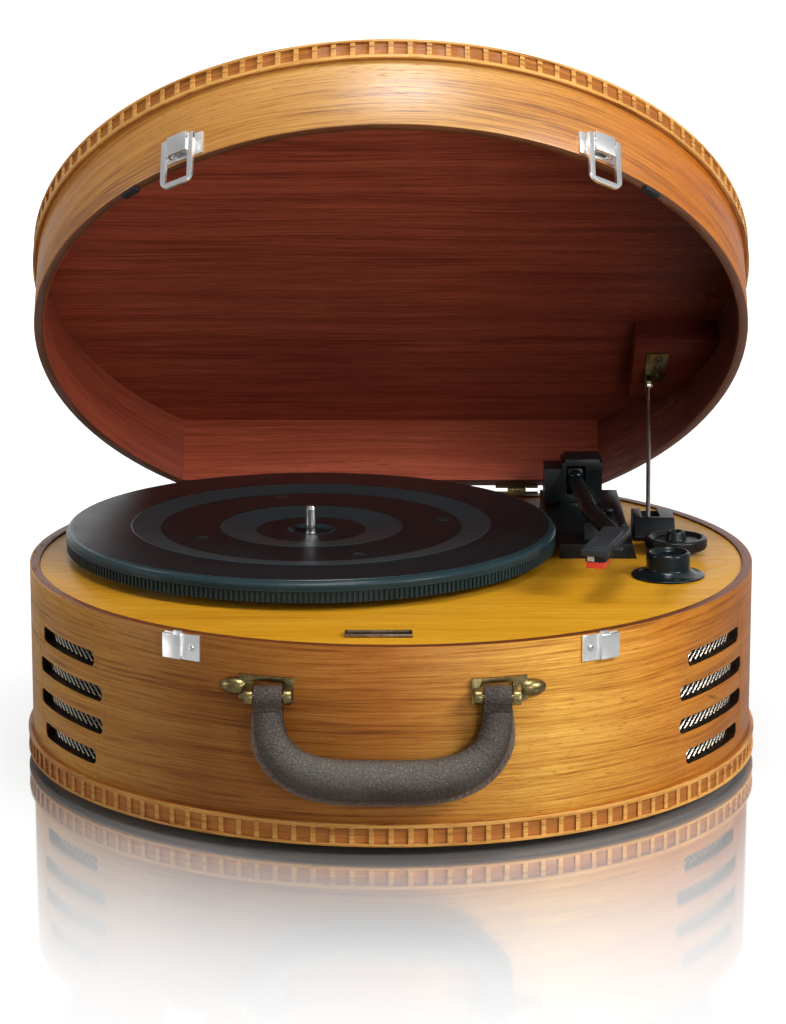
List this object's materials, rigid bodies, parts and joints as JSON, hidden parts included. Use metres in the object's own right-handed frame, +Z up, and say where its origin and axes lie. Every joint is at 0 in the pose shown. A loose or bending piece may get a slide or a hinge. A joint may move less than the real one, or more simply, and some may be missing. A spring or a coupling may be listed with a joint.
{
  "type": "portable turntable",
  "caption": "Round wooden suitcase record player with a flat back, hinged lid on a rod stay, toothed platter, tonearm, slotted speakers, draw latches and a leather handle.",
  "frame": {"origin": "on the floor under the middle of the open part's box", "axes": "+Z up along the record spindle, -Y towards the carrying handle, +X towards the tonearm"},
  "size_m": [0.4458, 0.4596, 0.4406],
  "materials": {
    "case_wood": "orange-brown oak veneer, satin lacquer",
    "inner_wood": "plain unlacquered board",
    "deck_wood": "golden veneer, satin lacquer",
    "lid_lining": "dark red-brown veneer, satin lacquer",
    "rubber": "matt black",
    "mesh": "perforated sheet",
    "black_metal": "stoved black",
    "black_board": "board painted matt black",
    "cone_paper": "pressed pulp",
    "chrome": "polished",
    "antique_brass": "antique brass, worn",
    "steel": "plain bright",
    "badge": "dark nickel",
    "black_plastic": "semi-gloss black moulding",
    "grey_plastic": "dark grey moulding",
    "red_plastic": "red moulding",
    "board": "circuit board",
    "leather": "dark brown pebbled leather"
  },
  "bodies": {
    "case": {"case_wall": "case_wood", "case_rear_wall": "case_wood", "base_trim": "case_wood", "bottom_panel": "inner_wood", "feet": "rubber", "deck_ledge": "inner_wood", "deck_board": "deck_wood", "badge_plate": "badge", "speaker_grilles": "mesh", "speaker_baffles": "black_board", "speaker_frames": "black_metal", "speaker_cones": "cone_paper", "latch_catches": "chrome", "handle_brackets": "antique_brass", "handle_pins": "antique_brass", "hinge_case_leaves": "antique_brass", "hinge_pins": "steel", "stay_guide": "black_plastic", "arm_plinth": "black_plastic", "arm_pivot_post": "steel", "motor": "steel", "drive_belt": "rubber", "bearing_bush": "antique_brass", "spindle": "steel", "amplifier_board": "board", "jack_panel": "black_plastic", "rear_sockets": "steel", "volume_pot": "steel", "adapter_post": "black_plastic", "case_screws": "steel"},
    "lid": {"lid_wall": "case_wood", "lid_rear_wall": "case_wood", "lid_top_panel": "lid_lining", "lid_trim": "case_wood", "lid_bumpers": "rubber", "hinge_lid_leaves": "antique_brass", "stay_block": "lid_lining", "stay_bracket": "antique_brass", "latch_bases": "chrome", "lid_screws": "steel"},
    "stay": {"stay_rod": "steel"},
    "platter": {"platter": "black_plastic"},
    "pulley": {"motor_pulley": "antique_brass"},
    "arm_yoke": {"arm_yoke": "black_plastic"},
    "tonearm": {"arm_tube": "black_plastic", "headshell": "grey_plastic", "cartridge": "black_plastic", "stylus": "red_plastic", "counterweight": "black_plastic"},
    "cue_lever": {"cue_lever": "black_plastic"},
    "speed_switch": {"speed_switch": "black_plastic"},
    "volume_knob": {"volume_knob": "black_plastic"},
    "single_adapter": {"adapter_45": "black_plastic"},
    "latch_lever_left": {"latch_lever_left": "chrome"},
    "latch_lever_right": {"latch_lever_right": "chrome"},
    "latch_loop_left": {"latch_loop_left": "chrome"},
    "latch_loop_right": {"latch_loop_right": "chrome"},
    "handle": {"handle_grip": "leather", "handle_end_loops": "leather"}
  },
  "joints": [
    {"name": "lid_hinge", "type": "hinge", "parent": "case", "child": "lid", "pos_m": [0, 0.18877, 0.12175], "axis": [1, 0, 0], "range_deg": [0, 43.8]},
    {"name": "stay_swing", "type": "hinge", "parent": "lid", "child": "stay", "pos_m": [0.166, 0.14599, 0.20053], "axis": [1, 0, 0], "range_deg": [-43.8, 0]},
    {"name": "platter_spin", "type": "hinge", "parent": "case", "child": "platter", "pos_m": [-0.049, 0.02487, 0.1375], "axis": [0, 0, 1], "continuous": true},
    {"name": "pulley_spin", "type": "hinge", "parent": "case", "child": "pulley", "pos_m": [-0.11971, -0.04584, 0.1205], "axis": [0, 0, 1], "continuous": true},
    {"name": "arm_swing", "type": "hinge", "parent": "case", "child": "arm_yoke", "pos_m": [0.118, 0.12537, 0.1445], "axis": [0, 0, -1], "range_deg": [0, 47.5]},
    {"name": "arm_lift", "type": "hinge", "parent": "arm_yoke", "child": "tonearm", "pos_m": [0.118, 0.12537, 0.1445], "axis": [-1, 0, 0], "range_deg": [0, 3]},
    {"name": "cue_lever_tip", "type": "hinge", "parent": "case", "child": "cue_lever", "pos_m": [0.138, 0.09737, 0.1261], "axis": [-1, 0, 0], "range_deg": [-3, 40]},
    {"name": "speed_slide", "type": "slide", "parent": "case", "child": "speed_switch", "axis": [0, 1, 0], "range_m": [-0.004, 0.004]},
    {"name": "volume_turn", "type": "hinge", "parent": "case", "child": "volume_knob", "pos_m": [0.1655, -0.03763, 0.1205], "axis": [0, 0, -1], "range_deg": [0, 300]},
    {"name": "adapter_lift", "type": "slide", "parent": "case", "child": "single_adapter", "axis": [0, 0, 1], "range_m": [0, 0.01]},
    {"name": "latch_lever_left_turn", "type": "hinge", "parent": "lid", "child": "latch_lever_left", "pos_m": [-0.12128, -0.07083, 0.37741], "axis": [0.8415, -0.3899, 0.3739], "range_deg": [0, 100]},
    {"name": "latch_loop_left_turn", "type": "hinge", "parent": "latch_lever_left", "child": "latch_loop_left", "pos_m": [-0.12204, -0.06776, 0.38231], "axis": [0.8415, -0.3899, 0.3739], "range_deg": [-100, 0]},
    {"name": "latch_lever_right_turn", "type": "hinge", "parent": "lid", "child": "latch_lever_right", "pos_m": [0.12128, -0.07083, 0.37741], "axis": [0.8415, 0.3899, -0.3739], "range_deg": [0, 100]},
    {"name": "latch_loop_right_turn", "type": "hinge", "parent": "latch_lever_right", "child": "latch_loop_right", "pos_m": [0.12204, -0.06776, 0.38231], "axis": [0.8415, 0.3899, -0.3739], "range_deg": [-100, 0]},
    {"name": "handle_swing", "type": "hinge", "parent": "case", "child": "handle", "pos_m": [-0.0045, -0.20839, 0.0925], "axis": [-1, 0, 0], "range_deg": [0, 100]}
  ],
  "couplings": [
    {"joint": "stay_swing", "follows": "lid_hinge", "ratio": -1},
    {"joint": "pulley_spin", "follows": "platter_spin", "ratio": 10.333},
    {"joint": "cue_lever_tip", "follows": "arm_lift", "ratio": 12},
    {"joint": "latch_loop_left_turn", "follows": "latch_lever_left_turn", "ratio": -1},
    {"joint": "latch_loop_right_turn", "follows": "latch_lever_right_turn", "ratio": -1}
  ]
}
